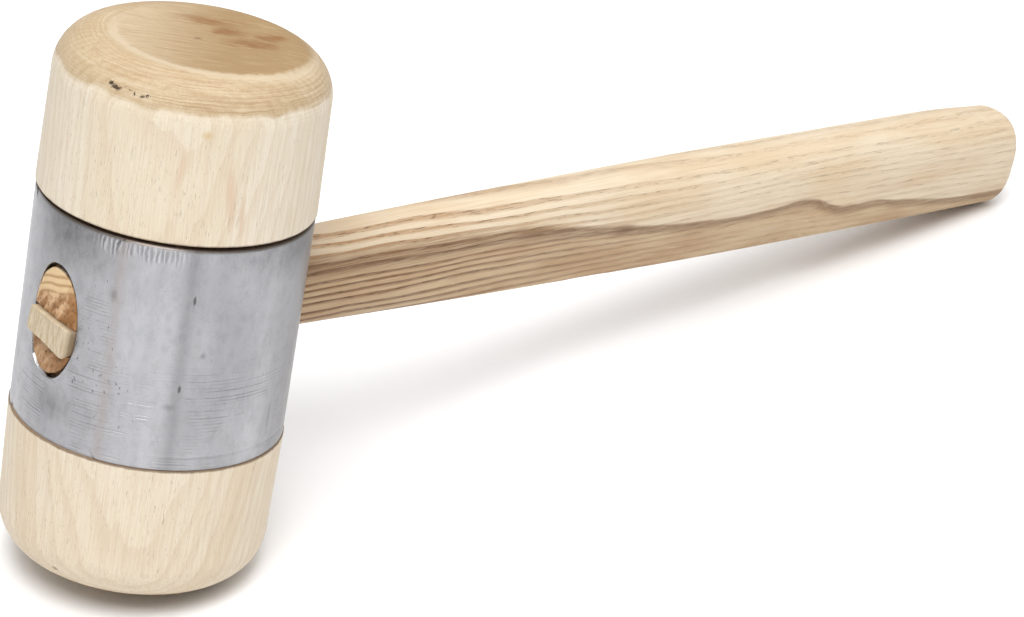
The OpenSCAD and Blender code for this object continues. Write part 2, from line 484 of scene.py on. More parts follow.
def lower_face_material():
    tint = (rgb(248, 234, 211), rgb(242, 224, 195), rgb(234, 210, 183))
    s, colour, roughness, height, depth = face_wood("lower_face_wood", 0.0, 1, 3.0, tint, 2.2)
    mark = s.spot(s.mm, head_point(-164, 33.1, 5.6), (1.3, 1.3, 0.8), soft=0.8)
    colour = s.paint(colour, (120, 88, 60), mark, 0.7)
    colour = shoulder_shade_line(s, colour, depth, LOWER_SHOULDER_Z)
    return finish_wood(s, colour, roughness, height)


# ---------------------------------------------------------------- steel

def on_sleeve(s, azimuth, z, size, soft=1.0):
    """A spot on the outside of the sleeve."""
    return s.spot(s.mm, head_point(azimuth, SLEEVE_R, z), size, soft=soft)


def steel_rings(s, round_mm):
    """Turning rings: fine grooves round the sleeve in patches, most of them in its lower half."""
    pitch = 0.92
    pitch_wobble = s.noise(s.combine(s.times(round_mm, 0.02), 4.0, s.times(s.z, 0.3)), detail=1.0)
    groove = s.math("SINE", s.add(s.times(s.z, 2 * math.pi / pitch), s.times(pitch_wobble, 5.0)))
    depth_of_each = s.noise(s.combine(s.times(round_mm, 0.03), 7.0, s.times(s.z, 0.9)), detail=2.0)
    groove = s.times(s.step(groove, 0.2, 1.0), s.step(depth_of_each, 0.40, 0.66))
    where = s.noise(s.combine(s.times(round_mm, 0.10), 3.0, s.times(s.z, 0.055)), detail=2.0)
    low = s.step(s.z, sleeve_low.z + 33.0, sleeve_low.z + 20.0)
    beside_eye = on_sleeve(s, -158, 70.0, (7.0, 7.0, 20.0), soft=0.6)
    return s.times(s.largest(low, beside_eye), s.step(where, 0.43, 0.54), groove)


def steel_chatter(s, azimuth, round_mm, below_top):
    """Chatter marks just under the top edge, strongest beside the eye."""
    pitch = 1.25
    uneven = s.noise(s.combine(s.times(round_mm, 0.55), 1.0, s.times(s.z, 0.25)), detail=2.0)
    flute = s.math("SINE", s.add(s.times(round_mm, 2 * math.pi / pitch), s.times(uneven, 7.0)))
    flute = s.times(flute, s.add(0.2, s.times(uneven, 1.4)))
    patchy = s.noise(s.combine(s.times(round_mm, 0.30), 0.0, s.times(s.z, 0.12)), detail=2.0)
    reach = s.add(2.2, s.times(patchy, 6.5))
    strong = s.times(s.step(azimuth, math.radians(-164), math.radians(-156)),
                     s.step(azimuth, math.radians(-122), math.radians(-132)))
    strength = s.times(s.add(0.30, s.times(strong, 0.70)), s.step(patchy, 0.26, 0.46),
                       s.step(below_top, 0.4, 1.2))
    return s.times(s.step(below_top, reach, s.math("SUBTRACT", reach, 3.0)), strength, flute)


def steel_pits(s):
    """Pits, thickest beside the eye."""
    level = s.add(0.73, s.times(on_sleeve(s, -158, 70.0, (14.0, 14.0, 34.0), soft=0.8), -0.07))
    pits = s.noise(s.stretch(1.2, 1.2, 0.6), detail=2.0, roughness=0.6)
    return s.step(s.math("SUBTRACT", pits, level), 0.0, 0.04)


def steel_marks(s):
    """Nicks, smudges, shaded patches and one scrape, each at its own place."""
    nicks = s.largest(on_sleeve(s, -119.4, 85.8, (0.42, 0.42, 1.6), soft=0.5),
                      on_sleeve(s, -120.6, 62.0, (0.45, 0.45, 1.3), soft=0.5))
    smudge = s.largest(on_sleeve(s, -124, 57.0, (2.6, 2.6, 1.4)),
                       on_sleeve(s, -112.9, 71.1, (1.3, 1.3, 1.3)),
                       on_sleeve(s, -152, 84.0, (1.6, 1.6, 2.6)))
    shade = s.largest(on_sleeve(s, -174, 96.0, (17, 17, 13)),
                      s.times(on_sleeve(s, -174, 50.0, (10, 10, 7)), 0.6),
                      s.times(on_sleeve(s, -72, 97.0, (26, 26, 11)), 0.8))
    scrape = on_sleeve(s, -73, 51.0, (0.9, 0.9, 6.5), soft=0.9)
    return nicks, smudge, shade, scrape


def filed_edge(s):
    """1 on the filed edge of the eye, which is painted brightest: partly clean filed metal, partly a painted
    highlight.
    """
    up = s.times(s.math("SUBTRACT", s.z, EYE_Z), 1 / EYE_HALF_H)
    from_eye = s.vector("LENGTH", s.combine(s.times(s.y, 1 / EYE_HALF_W), up, 0.0))
    outside = s.vector("LENGTH", s.combine(s.x, s.y, 0.0))
    return s.times(s.step(from_eye, 1.15, 1.12), s.step(outside, SLEEVE_R - 0.03, SLEEVE_R - 0.1))


def from_azimuth(s, round_mm, azimuth):
    """Distance round the sleeve from a line down it, in mm."""
    return s.math("ABSOLUTE", s.math("SUBTRACT", round_mm, math.radians(azimuth) * SLEEVE_R))


def steel_material():
    """Turned bare steel: fine rings, chatter marks under the top edge, pits, nicks and smudges, with painted
    shade, painted dark reflections and painted highlights.
    """
    s = Shader("turned_steel")
    azimuth = s.math("ARCTAN2", s.y, s.x)
    round_mm = s.times(azimuth, SLEEVE_R)
    below_top = s.math("SUBTRACT", sleeve_high.z, s.z)
    clouds = s.noise(s.stretch(0.06, 0.06, 0.035), detail=4.0, roughness=0.6)
    mottle = s.noise(s.stretch(0.45, 0.45, 0.30), detail=4.0, roughness=0.65)
    grit = s.noise(s.stretch(3.5, 3.5, 3.5), detail=2.0)
    drawn = s.noise(s.combine(s.times(round_mm, 0.16), 0.0, s.times(s.z, 0.008)), detail=3.0)
    rings = steel_rings(s, round_mm)
    chatter = steel_chatter(s, azimuth, round_mm, below_top)
    pits = steel_pits(s)
    nicks, smudge, shade, scrape = steel_marks(s)
    filed = filed_edge(s)
    # a rosy heat line down the sleeve
    seam = s.add(from_azimuth(s, round_mm, -150.3), s.times(drawn, 1.6))
    seam = s.times(s.step(seam, 3.4, 0.8), s.step(mottle, 0.25, 0.55))

    colour = s.mix(s.step(clouds, 0.35, 0.66), rgb(196, 196, 199), rgb(211, 211, 214))
    colour = s.washes(colour, (drawn, 0.45, 0.62, 0.28, (184, 184, 187)), (mottle, 0.45, 0.7, 0.34,
                      (176, 176, 179)),
                      (grit, 0.52, 0.72, 0.30, (160, 160, 162)))
    colour = s.paint(colour, (206, 184, 176), seam, 0.32)
    colour = s.paint(colour, (120, 119, 118), shade, s.add(0.12, s.times(mottle, 0.7)))
    colour = s.paint(colour, (128, 126, 124), smudge, 0.45)
    colour = s.paint(colour, (130, 130, 134), scrape, 0.45)
    colour = s.paint(colour, (138, 137, 137), rings, 0.32)
    # two darker bands down the front: painted dark reflections of the surroundings
    for centre, half_width, dark_reflection_amount in ((-121.5, 7.0, 0.42), (-64.0, 24.0, 0.55)):
        offset = s.add(from_azimuth(s, round_mm, centre), s.times(drawn, 2.0))
        band = s.step(offset, math.radians(half_width) * SLEEVE_R, 1.0)
        colour = s.paint(colour, (146, 146, 148), band, dark_reflection_amount)
    colour = s.paint(colour, (96, 94, 92), s.largest(nicks, s.times(pits, 0.55)), 0.75)
    # the top edge, in the gap under the wooden shoulder, is painted in brown shade
    top_edge_shade = s.step(s.add(below_top, s.times(mottle, 0.8)), 1.3, 0.5)
    colour = s.paint(colour, (112, 92, 70), top_edge_shade, 0.75)
    # the chatter crests are painted bright and its hollows dark: painted highlights and painted shade on the
    # flutes
    colour = s.washes(colour, (chatter, 0.25, 0.8, 0.5, (238, 238, 240)), (chatter, -0.25, -0.8, 0.40,
                      (132, 130, 129)))
    # the filed edge is painted brighter: partly its clean filed metal, partly a painted highlight
    colour = s.paint(colour, (226, 225, 223), filed, 0.6)

    worn = s.add(0.33, s.times(mottle, 0.16), s.times(grit, 0.06), s.times(pits, 0.2))
    roughness = s.add(s.times(worn, s.math("SUBTRACT", 1.0, s.times(filed, 0.45))), s.times(shade, 0.1))
    height = s.add(s.times(rings, -0.75), s.times(chatter, 1.1), s.times(pits, -0.8),
                   s.times(nicks, -1.2), s.times(grit, 0.12), s.times(mottle, 0.35))
    height = s.times(height, s.math("SUBTRACT", 1.0, s.times(filed, 0.8)))
    s.feed(s.surface.inputs["Base Color"], colour)
    s.feed(s.surface.inputs["Roughness"], roughness)
    s.feed(s.surface.inputs["Normal"], s.bump(height, 0.10))
    s.surface.inputs["Metallic"].default_value = 1.0
    s.surface.inputs["Anisotropic"].default_value = 0.75
    s.surface.inputs["Anisotropic Rotation"].default_value = 0.25
    return s.material


# ---------------------------------------------------------------- wood of the handle and the wedge

def flank_masks(s, z, patches):
    """The flank is light above a wavy line and brown below it, partly heartwood and partly painted shade of
    the downward-facing side, with a band of painted shade just under the line.
    """
    line = s.add(s.times(s.math("SUBTRACT", patches, 0.5), 2.0), FLANK_START - 0.3)
    for start, stop, fall in FLANK_FALLS:
        line = s.add(line, s.times(s.step(s.x, float(start), float(stop)), fall))
    for centre, reach, rise in FLANK_HUMPS:
        away = s.math("ABSOLUTE", s.add(s.x, float(-centre)))
        line = s.add(line, s.times(s.step(away, float(reach), 0.0), rise))
    sharpness = s.add(0.6, s.times(s.step(s.x, 190.0, 60.0), 1.6))
    below = s.math("SUBTRACT", line, z)
    heartwood_and_shade = s.step(below, s.times(sharpness, -1.0), sharpness)
    ridge_shade_depth = s.add(4.0, s.times(s.step(s.x, 200.0, 60.0), 3.0))
    ridge_shade = s.times(s.step(below, s.times(sharpness, -0.7), s.times(sharpness, 0.8)),
                   s.step(below, ridge_shade_depth, s.times(ridge_shade_depth, 0.35)))
    return heartwood_and_shade, ridge_shade


def torn_grain(s, z, saw):
    """End grain at the tenon: pale bands above, coarse, brown and torn in the middle."""
    coarse = s.noise(s.stretch(0.6, 0.6, 0.5), detail=4.0, roughness=0.62)
    holes = s.step(s.noise(s.stretch(1.5, 1.5, 1.0), detail=2.0), 0.60, 0.72)
    band = s.times(s.step(saw, 0.35, 0.6), s.step(saw, 0.95, 0.7))
    end = s.mix(s.times(band, 0.65), rgb(240, 208, 162), rgb(176, 132, 84))
    rough_zone = s.step(s.add(z, s.times(s.y, 0.3), s.times(coarse, 4.0)), 10.5, 7.5)
    clump_y = s.times(s.add(s.y, s.times(z, 0.5)), 0.42)
    clumps = s.noise(s.combine(s.times(s.x, 0.4), clump_y, s.times(z, 0.22)), detail=3.0, roughness=0.6)
    torn = s.mix(s.step(clumps, 0.38, 0.60), rgb(236, 196, 154), rgb(172, 122, 78))
    torn = s.washes(torn, (s.y, -2.5, -6.5, 0.5, (160, 108, 58)), (z, -3.0, -7.5, 0.5, (150, 108, 72)),
                    (coarse, 0.44, 0.68, 0.5, (132, 90, 58)), (coarse, 0.45, 0.28, 0.4, (242, 208, 166)))
    # the torn holes are painted dark: painted shade in the holes
    torn = s.paint(torn, (82, 50, 28), holes, 0.6)
    end = s.mix(s.times(rough_zone, 0.9), end, torn)
    end = s.washes(end, (s.y, -3.2, -6.6, 0.55, (166, 114, 64)))
    return end, s.add(s.times(coarse, 1.6), s.times(holes, rough_zone, -1.2))


def handle_material():
    """Ash: strong brown rings along the handle, darker below its flank, coarse end grain at the tenon."""
    s = Shader("ash_handle")
    below_eye = s.math("SUBTRACT", s.z, EYE_Z)
    z = s.add(below_eye, s.times(s.x, math.tan(HANG)))
    wander = s.noise(s.combine(s.times(s.x, 0.008), s.times(s.y, 0.04), s.times(z, 0.04)), detail=3.0)
    ring = s.add(z, s.times(s.y, 0.33), s.times(s.y, s.y, 0.010), s.times(wander, 7.0))
    spacing = s.noise(s.combine(s.times(ring, 0.12), 5.0, 2.0), detail=1.0)
    saw = s.math("FRACT", s.times(s.add(ring, s.times(spacing, 5.0)), 1 / 2.3))
    early = s.times(s.step(saw, 0.35, 0.78), s.step(saw, 1.0, 0.90))
    fibre = s.noise(s.stretch(0.06, 3.0, 3.0), detail=4.0, roughness=0.6)
    threads = s.noise(s.stretch(0.02, 0.9, 0.9), detail=3.0, roughness=0.6)
    pores = s.step(s.noise(s.stretch(0.22, 2.6, 2.6), detail=2.0), 0.56, 0.70)
    patches = s.noise(s.stretch(0.03, 0.10, 0.10), detail=3.0)
    heartwood_and_shade, ridge_shade = flank_masks(s, z, patches)

    contrast = s.add(0.12, s.times(s.step(s.x, 230.0, 40.0), 0.88))
    light = s.mix(s.step(patches, 0.35, 0.7), rgb(246, 228, 200), rgb(238, 214, 180))
    brown = s.mix(s.step(patches, 0.35, 0.7), rgb(222, 194, 156), rgb(202, 168, 128))
    # below the ridge the wood is browner: partly heartwood colour, partly painted shade of the
    # downward-facing side
    colour = s.mix(heartwood_and_shade, light, brown)
    colour = s.washes(colour, (s.x, 120.0, 30.0, 0.40, (184, 150, 112)))
    ring_dark = s.mix(heartwood_and_shade, rgb(184, 144, 102), rgb(122, 84, 52))
    colour = s.mix(s.times(early, contrast, s.add(0.45, s.times(fibre, 0.8))), colour, ring_dark)
    colour = s.washes(colour, (threads, 0.5, 0.7, 0.24, (196, 156, 114)), (fibre, 0.5, 0.75, 0.22,
                      (176, 134, 94)),
                      (fibre, 0.48, 0.28, 0.25, (252, 238, 214)))
    colour = s.paint(colour, (112, 76, 46), pores, early, contrast, contrast, 0.7)
    mottled = s.add(0.36, s.times(s.step(fibre, 0.35, 0.65), 0.34))
    # a band of painted shade just under the ridge
    colour = s.paint(colour, (124, 88, 60), ridge_shade, mottled)
    burr = s.spot(s.combine(s.x, s.y, z), (161.0, -10.0, 1.2), (6.5, 6.0, 3.2), soft=0.9)
    colour = s.paint(colour, (122, 82, 50), burr, 0.55)

    end, end_height = torn_grain(s, z, saw)
    from_axis = s.vector("LENGTH", s.combine(s.x, s.y, 0.0))
    at_end = s.times(s.step(from_axis, SLEEVE_R - 0.5, SLEEVE_R - 0.1), s.step(s.x, 0.0, -5.0))
    colour = s.mix(at_end, colour, end)
    # the tenon's sides inside the eye are painted dark: painted shade in the gap round the tenon
    eye_gap_shade = s.times(s.step(from_axis, SLEEVE_R - 0.1, SLEEVE_R - 0.8), s.step(s.x, -SPIGOT_R + 3, -SPIGOT_R))
    colour = s.paint(colour, (66, 42, 24), eye_gap_shade, 0.75)

    roughness = s.add(0.46, s.times(fibre, 0.18), s.times(at_end, 0.2))
    height = s.add(s.times(fibre, 0.5), s.times(pores, early, -0.8), s.times(early, -0.25))
    height = s.add(s.times(height, s.math("SUBTRACT", 1.0, at_end)), s.times(end_height, at_end))
    return finish_wood(s, colour, roughness, height, distance=0.2)


def wedge_material():
    """Pale split hardwood, its fibres along the wedge; the driven end is a little crushed."""
    s = Shader("wedge_wood")
    fibre = s.noise(s.stretch(0.12, 2.2, 2.2), detail=4.0, roughness=0.6)
    lines = s.noise(s.stretch(0.05, 1.4, 0.25), detail=3.0)
    grain = s.noise(s.stretch(1.0, 1.6, 0.22), detail=3.0)
    colour = s.mix(s.step(lines, 0.35, 0.65), rgb(226, 210, 182), rgb(208, 188, 156))
    colour = s.paint(colour, (184, 156, 120), s.step(grain, 0.48, 0.72), 0.42)
    colour = s.paint(colour, (168, 138, 100), s.step(fibre, 0.55, 0.75), 0.30)
    # painted shade where the wedge goes into its slot in the tenon
    slot_shade = s.step(s.x, TENON_END_X - 0.6, TENON_END_X + 0.6)
    colour = s.paint(colour, (120, 84, 50), slot_shade, 0.6)
    roughness = s.add(0.5, s.times(fibre, 0.2))
    height = s.add(s.times(fibre, 0.6), s.times(grain, 0.6))
    return finish_wood(s, colour, roughness, height, distance=0.15)


# ---------------------------------------------------------------- head pieces

TURN_STEPS = 384


def face_profile(face_len, spigot_len):
    """Radius and depth of a turned face, from the middle of its flat to the end of its spigot, in mm."""
    bead, chamfer = 0.5, 0.35
    points = [(FLAT_R * t, 0.0) for t in np.linspace(0, 1, 22)[1:-1]]
    for a in np.radians(np.linspace(0, 90, 64)):
        # the rim meets the flat at a slight crease
        sink = bead * math.exp(-((math.degrees(a)) / 9.0) ** 2) * 0.18
        points.append((FLAT_R + RIM_R * math.sin(a), RIM_R * (1 - math.cos(a)) + sink))
    for t in np.linspace(0, 1, 60)[1:]:
        r = RIM_START_R + (SHOULDER_R - RIM_START_R) * t
        points.append((r, RIM_R + (face_len - chamfer - RIM_R) * t))
    points.append((SHOULDER_R - chamfer * 0.4, face_len - chamfer * 0.3))
    points.append((SHOULDER_R - chamfer, face_len))
    points += [(SHOULDER_R - 1.2, face_len), (SPIGOT_R + 0.2, face_len), (SPIGOT_R, face_len + 0.2)]
    points += [(SPIGOT_R, face_len + (spigot_len - face_len) * t) for t in (0.3, 0.6, 1.0)]
    points += [(SPIGOT_R * t, spigot_len) for t in (0.75, 0.5, 0.25)]
    return np.array(points)


def turned_face(name, strike_z, into, face_len, spigot_len, material, node, seed):
    """One striking face: a turned solid with a worn flat, tool lines on its rim and a spigot."""
    profile = face_profile(face_len, spigot_len)
    angles = np.arange(TURN_STEPS) * 2 * math.pi / TURN_STEPS
    r = np.repeat(profile[:, 0], TURN_STEPS)
    depth = np.repeat(profile[:, 1], TURN_STEPS)
    turn = np.tile(angles, len(profile))
    flat_points = np.stack([r * np.cos(turn), r * np.sin(turn), depth], axis=1)

    # wear: all of it cuts inwards, so that the piece stays inside its solid
    on_flat = ramp(-r, -FLAT_R - 0.5, -FLAT_R + 2.0) * (depth < 1)
    dish = 0.22 * on_flat * (1 - (np.minimum(r, FLAT_R) / FLAT_R) ** 2)
    saw_marks = 0.05 * on_flat * (1 + smooth_noise(flat_points * (1, 1, 0), 3.0, seed + 1))
    dents = 0.16 * on_flat * np.clip(smooth_noise(flat_points, 11.0, seed + 2) - 0.4, 0, None)
    on_rim = ((depth < RIM_R) & (r > FLAT_R)) * ramp(depth, 0.3, 1.2) * ramp(-depth, -RIM_R, -RIM_R + 2)
    tool_lines = 0.035 * on_rim * (1 + np.sin(depth * 2 * math.pi / 1.1 + r * 2 * math.pi / 1.9))
    knocks = 0.30 * on_rim * np.clip(smooth_noise(flat_points, 16.0, seed + 3) - 0.55, 0, None)
    side = ramp(depth, RIM_R - 2, RIM_R + 2) * (r > SPIGOT_R + 1) * (depth < face_len - 0.2)
    flutes = 0.025 * side * (1 + smooth_noise(flat_points * (1, 1, 0.06), 5.0, seed + 4))

    sink = dish + saw_marks + dents
    inward = tool_lines + knocks + flutes
    rim_angle = np.clip((depth / RIM_R), 0, 1)
    r = r - inward * np.where(on_rim > 0, rim_angle, 1.0)
    depth = depth + sink + inward * on_rim * (1 - rim_angle)

    points = np.stack([r * np.cos(turn), r * np.sin(turn), strike_z + into * depth], axis=1)
    rings = len(profile)
    faces = loft_faces(rings, TURN_STEPS, flip=into > 0)
    first, last = len(points), len(points) + 1
    points = np.vstack([points, [(0, 0, strike_z + into * sink[0])], [(0, 0, strike_z + into * spigot_len)]])
    for k in range(TURN_STEPS):
        n = (k + 1) % TURN_STEPS
        caps = [(first, n, k), (last, (rings - 1) * TURN_STEPS + k, (rings - 1) * TURN_STEPS + n)]
        faces += [c[::-1] if into > 0 else c for c in caps]
    piece = make_piece(name, points, faces, material, node)
    cut_away(piece, *tenon_solid(-SLEEVE_R - 4, SLEEVE_R + 4))
    return piece


# ---------------------------------------------------------------- the sleeve

def oval_reach(c, s, half_w, half_h, power):
    """Distance from an oval's centre to its edge in the direction (c, s), across and up."""
    return (np.abs(c / half_w) ** power + np.abs(s / half_h) ** power) ** (-1 / power)


def eye_reach(c, s, grow):
    """Distance from the eye's centre to its edge in the direction (c, s), across and up."""
    return oval_reach(c, s, EYE_HALF_W + grow, EYE_HALF_H + grow, OVAL_POWER)


# round the eye: degrees from its lowest point, how far its wall stands out, and how far its filed edge does
EYE_EDGE = ((-180, 0.0, 0.15), (-60, 0.0, 0.15), (-25, -0.7, -0.5), (0, -1.05, -0.8), (6, -1.5, -0.7),
            (18, -1.55, -0.1), (30, -1.0, 0.7), (45, -0.35, 0.5), (70, 0.0, 0.2), (180, 0.0, 0.15))


def eye_lip(c, s):
    """How far the eye's wall stands out, and how far its filed edge does, in a direction."""
    turn = math.degrees(math.atan2(-c, -s))
    at, wall, filed = zip(*EYE_EDGE)
    return float(np.interp(turn, at, wall)), float(np.interp(turn, at, filed))


PATCH_HALF = 17.0
PATCH_COLUMNS, PATCH_ROWS, PATCH_RINGS, BAND_STEPS = 44, 84, 12, 110
SLEEVE_EDGE = 0.4
GROOVE_Z, GROOVE_W, GROOVE_D = sleeve_low.z + 3.9, 0.45, 0.13
FILED_SLOPE = 1.3


def outer_radius(z):
    """The sleeve's outside: chamfered ends and one fine groove near the bottom."""
    from_end = min(z - sleeve_low.z, sleeve_high.z - z)
    r = SLEEVE_R - max(0.0, SLEEVE_EDGE - from_end) * 0.9
    return r - GROOVE_D * math.exp(-((z - GROOVE_Z) / GROOVE_W) ** 2)


def inner_radius(z):
    return SPIGOT_R


def on_cylinder(r, across, z, side):
    """A point at radius r, `across` mm to the side of the eye's line, facing -X or +X."""
    x = math.sqrt(max(r * r - across * across, 0.0))
    return (side * x, side * across, z)


def sleeve_heights():
    """Heights of the rows of points, which also land on the chamfers and the groove."""
    bottom, top = sleeve_low.z + SLEEVE_EDGE, sleeve_high.z - SLEEVE_EDGE
    rows = list(np.linspace(bottom, top, PATCH_ROWS))
    rows += list(GROOVE_Z + GROOVE_W * np.linspace(-2, 2, 9))
    return sorted(set([sleeve_low.z, bottom, top, sleeve_high.z] + rows))


def eye_spokes(heights):
    """Directions from the eye's middle to a patch's border, and how the eye's edge lies on each."""
    across = np.linspace(-PATCH_HALF, PATCH_HALF, PATCH_COLUMNS + 1)
    border = [(a, sleeve_low.z) for a in across[:-1]]
    border += [(PATCH_HALF, z) for z in heights[:-1]]
    border += [(a, sleeve_high.z) for a in across[::-1][:-1]]
    border += [(-PATCH_HALF, z) for z in heights[::-1][:-1]]
    spokes = []
    for a, z in border:
        length = math.hypot(a, z - EYE_Z)
        c, s = a / length, (z - EYE_Z) / length
        spokes.append((c, s, length, *eye_lip(c, s)))
    return spokes


def wall_point(c, s, length, stand_in, filed, t, side):
    """A point of the eye's wall: t runs from the inside of the sleeve to the filed edge."""
    out = float(eye_reach(c, s, stand_in))
    r = SPIGOT_R + (SLEEVE_R - FILED_SLOPE * (filed - stand_in) - SPIGOT_R) * t
    return on_cylinder(r, c * out, EYE_Z + s * out, side)


def filed_point(c, s, length, stand_in, filed, t, side):
    """A point of the filed edge: t runs from the eye's wall to the outside of the sleeve."""
    out = float(eye_reach(c, s, stand_in + (filed - stand_in) * t))
    depth = FILED_SLOPE * (filed - stand_in)
    return on_cylinder(SLEEVE_R - depth * (1 - t), c * out, EYE_Z + s * out, side)


def outer_point(c, s, length, stand_in, filed, t, side):
    """A point of the sleeve's outside: t runs from the eye to the patch's border."""
    reach = float(eye_reach(c, s, filed))
    out = reach + (length - reach) * t ** 1.25
    z = EYE_Z + s * out
    return on_cylinder(outer_radius(z), c * out, z, side)


def inner_point(c, s, length, stand_in, filed, t, side):
    """A point of the sleeve's inside: t runs from the eye to the patch's border."""
    reach = float(eye_reach(c, s, stand_in))
    out = reach + (length - reach) * t
    return on_cylinder(SPIGOT_R, c * out, EYE_Z + s * out, side)


def band_rows(radius_of, heights, side):
    """The plain band from one patch's far edge to the next patch."""
    rows = []
    for z in heights:
        r = radius_of(z)
        start = math.asin(PATCH_HALF / r)
        turns = np.linspace(start, math.pi - start, BAND_STEPS + 1)
        rows.append([(side * r * math.cos(t), side * r * math.sin(t), z) for t in turns])
    return rows


def number_points(rows, points, lookup):
    """Swaps each point for its number, so that points in one place are one vertex."""
    numbered = []
    for row in rows:
        keys = [tuple(round(v, 4) for v in p) for p in row]
        for key, p in zip(keys, row):
            if key not in lookup:
                lookup[key] = len(points)
                points.append(p)
        numbered.append([lookup[key] for key in keys])
    return numbered


def row_faces(rows, closed, turned):
    """Quads between rows of point numbers; closed rows join their last point to their first."""
    faces = []
    for low, high in zip(rows, rows[1:]):
        for k in range(len(low) if closed else len(low) - 1):
            n = (k + 1) % len(low)
            quad = (low[k], low[n], high[n], high[k])
            faces.append(quad[::-1] if turned else quad)
    return faces


def sleeve_shell():
    """Points and faces of the steel sleeve: two patches pierced by the eye, joined by plain bands."""
    points, faces, lookup = [], [], {}
    heights = sleeve_heights()
    spokes = eye_spokes(heights)
    outside = ([(wall_point, t) for t in np.linspace(0, 1, 6)]
               + [(filed_point, t) for t in np.linspace(0, 1, 8)[1:]]
               + [(outer_point, t) for t in np.linspace(0, 1, PATCH_RINGS + 1)[1:]])
    inside = [(inner_point, t) for t in np.linspace(0, 1, 5)]
    for side in (-1, 1):
        stacks = []
        for layers, turned in ((outside, True), (inside, False)):
            rows = [[place(*spoke, t, side) for spoke in spokes] for place, t in layers]
            stacks.append((number_points(rows, points, lookup), True, turned))
        for radius_of, turned in ((outer_radius, False), (inner_radius, True)):
            rows = band_rows(radius_of, heights, side)
            stacks.append((number_points(rows, points, lookup), False, turned))
        for rows, closed, turned in stacks:
            faces += row_faces(rows, closed, turned)
    return np.array(points), faces


def close_ends(points, faces):
    """Joins the outer and inner walls of an open tube by quads between their end loops."""
    edges = {}
    for face in faces:
        for a, b in zip(face, face[1:] + face[:1]):
            edges[(a, b)] = edges.get((a, b), 0) + 1
    loose = [(a, b) for (a, b) in edges if (b, a) not in edges]
    loops = {}
    for a, b in loose:
        p = points[a]
        outside = math.hypot(p[0], p[1]) > SPIGOT_R + 1
        at_top = p[2] > EYE_Z
        loops.setdefault((outside, at_top), []).append((a, b))
    for at_top in (False, True):
        inner = sorted(loops[(False, at_top)], key=lambda e: math.atan2(points[e[0]][1], points[e[0]][0]))
        outer = sorted(loops[(True, at_top)], key=lambda e: math.atan2(points[e[0]][1], points[e[0]][0]))
        ring_in, ring_out = [e[0] for e in inner], [e[0] for e in outer]
        for k in range(len(ring_in)):
            n = (k + 1) % len(ring_in)
            quad = (ring_in[k], ring_in[n], ring_out[n], ring_out[k])
            faces.append(quad[::-1] if at_top else quad)
    return faces


def make_sleeve(material):
    points, faces = sleeve_shell()
    faces = close_ends(points, faces)
    return make_piece("steel_tube", points, faces, material, "steel_sleeve", sharp_angle=50)


# ---------------------------------------------------------------- the handle and its wedge

SECTION_SIDES = 128


def tenon_reach(c, s, half_h):
    """Distance from the middle of the tenon to its side, in the direction (c, s)."""
    return oval_reach(c, s, TENON_HALF_W, half_h, OVAL_POWER)


def tenon_half_h(x):
    return TENON_HALF_ROOT + TENON_SPREAD * (TENON_ROOT_X - x) / (TENON_ROOT_X - TENON_END_X)


def tenon_solid(x_start, x_end):
    """The plain tenon, as a cutter for the mortise in the two faces."""
    sides = 96
    turn = np.arange(sides) * 2 * math.pi / sides
    c, s = np.cos(turn), np.sin(turn)
    rings = []
    for x in (x_start, x_end):
        reach = tenon_reach(c, s, tenon_half_h(x))
        rings.append(np.stack([np.full(sides, x), c * reach, s * reach], axis=1))
    points = in_handle_frame(np.vstack(rings))
    faces = loft_faces(2, sides, flip=False)
    faces += [tuple(range(sides - 1, -1, -1)), tuple(range(sides, 2 * sides))]
    return points, faces


def flank_line(x):
    """Height of the ridge along the handle's flank, above the middle of its section."""
    line = FLANK_START + sum(fall * ramp(x, start, stop) for start, stop, fall in FLANK_FALLS)
    return line + sum(rise * ramp(-np.abs(x - centre), -reach, 0) for centre, reach, rise in FLANK_HUMPS)


def handle_reach(x, c, s):
    """Distance from the handle's axis to its surface in the direction (c, s), for arrays of points."""
    power = 2.5
    t = np.clip((x - SLEEVE_R - 1) / (GRIP_END_X - END_ROUND - SLEEVE_R - 1), 0, 1)
    swell = 1 - (1 - t) ** 2.5
    half_w = NECK_HALF_W + (GRIP_HALF_W - NECK_HALF_W) * swell
    half_h = TENON_HALF_ROOT + (GRIP_HALF_H - TENON_HALF_ROOT) * swell
    past = np.clip(x - (GRIP_END_X - END_ROUND), 0, END_ROUND)
    shrink = END_ROUND - np.sqrt(END_ROUND ** 2 - past ** 2)
    half_w, half_h = half_w - shrink, half_h - shrink
    half_h = half_h - 1.5 * ramp(x, GRIP_END_X - 38, GRIP_END_X) ** 1.3 * (s > 0)
    oval = oval_reach(c, s, half_w, half_h, power)
    # below the ridge the flanks are shaved flat and lean inwards
    bevel = ramp(x, 60, 170)
    slope = 0.36 * bevel
    ridge = flank_line(x)
    reach = oval.copy()
    lean = np.abs(c) - slope * s
    plane = (half_w * 0.995 - slope * ridge) / np.maximum(lean, 1e-6)
    cut = (s * oval < ridge) & (lean > 0)
    reach = np.where(cut, np.minimum(reach, plane), reach)
    tenon = tenon_reach(c, s, tenon_half_h(np.minimum(x, TENON_ROOT_X)))
    return tenon + (reach - tenon) * ramp(x, SLEEVE_R + 0.8, SLEEVE_R + 6)


def end_curve(y):
    """How far the tenon's end is trimmed back to follow the curve of the sleeve."""
    return -TENON_END_X - np.sqrt((SLEEVE_R + 0.35) ** 2 - np.clip(np.abs(y), 0, EYE_HALF_W) ** 2)


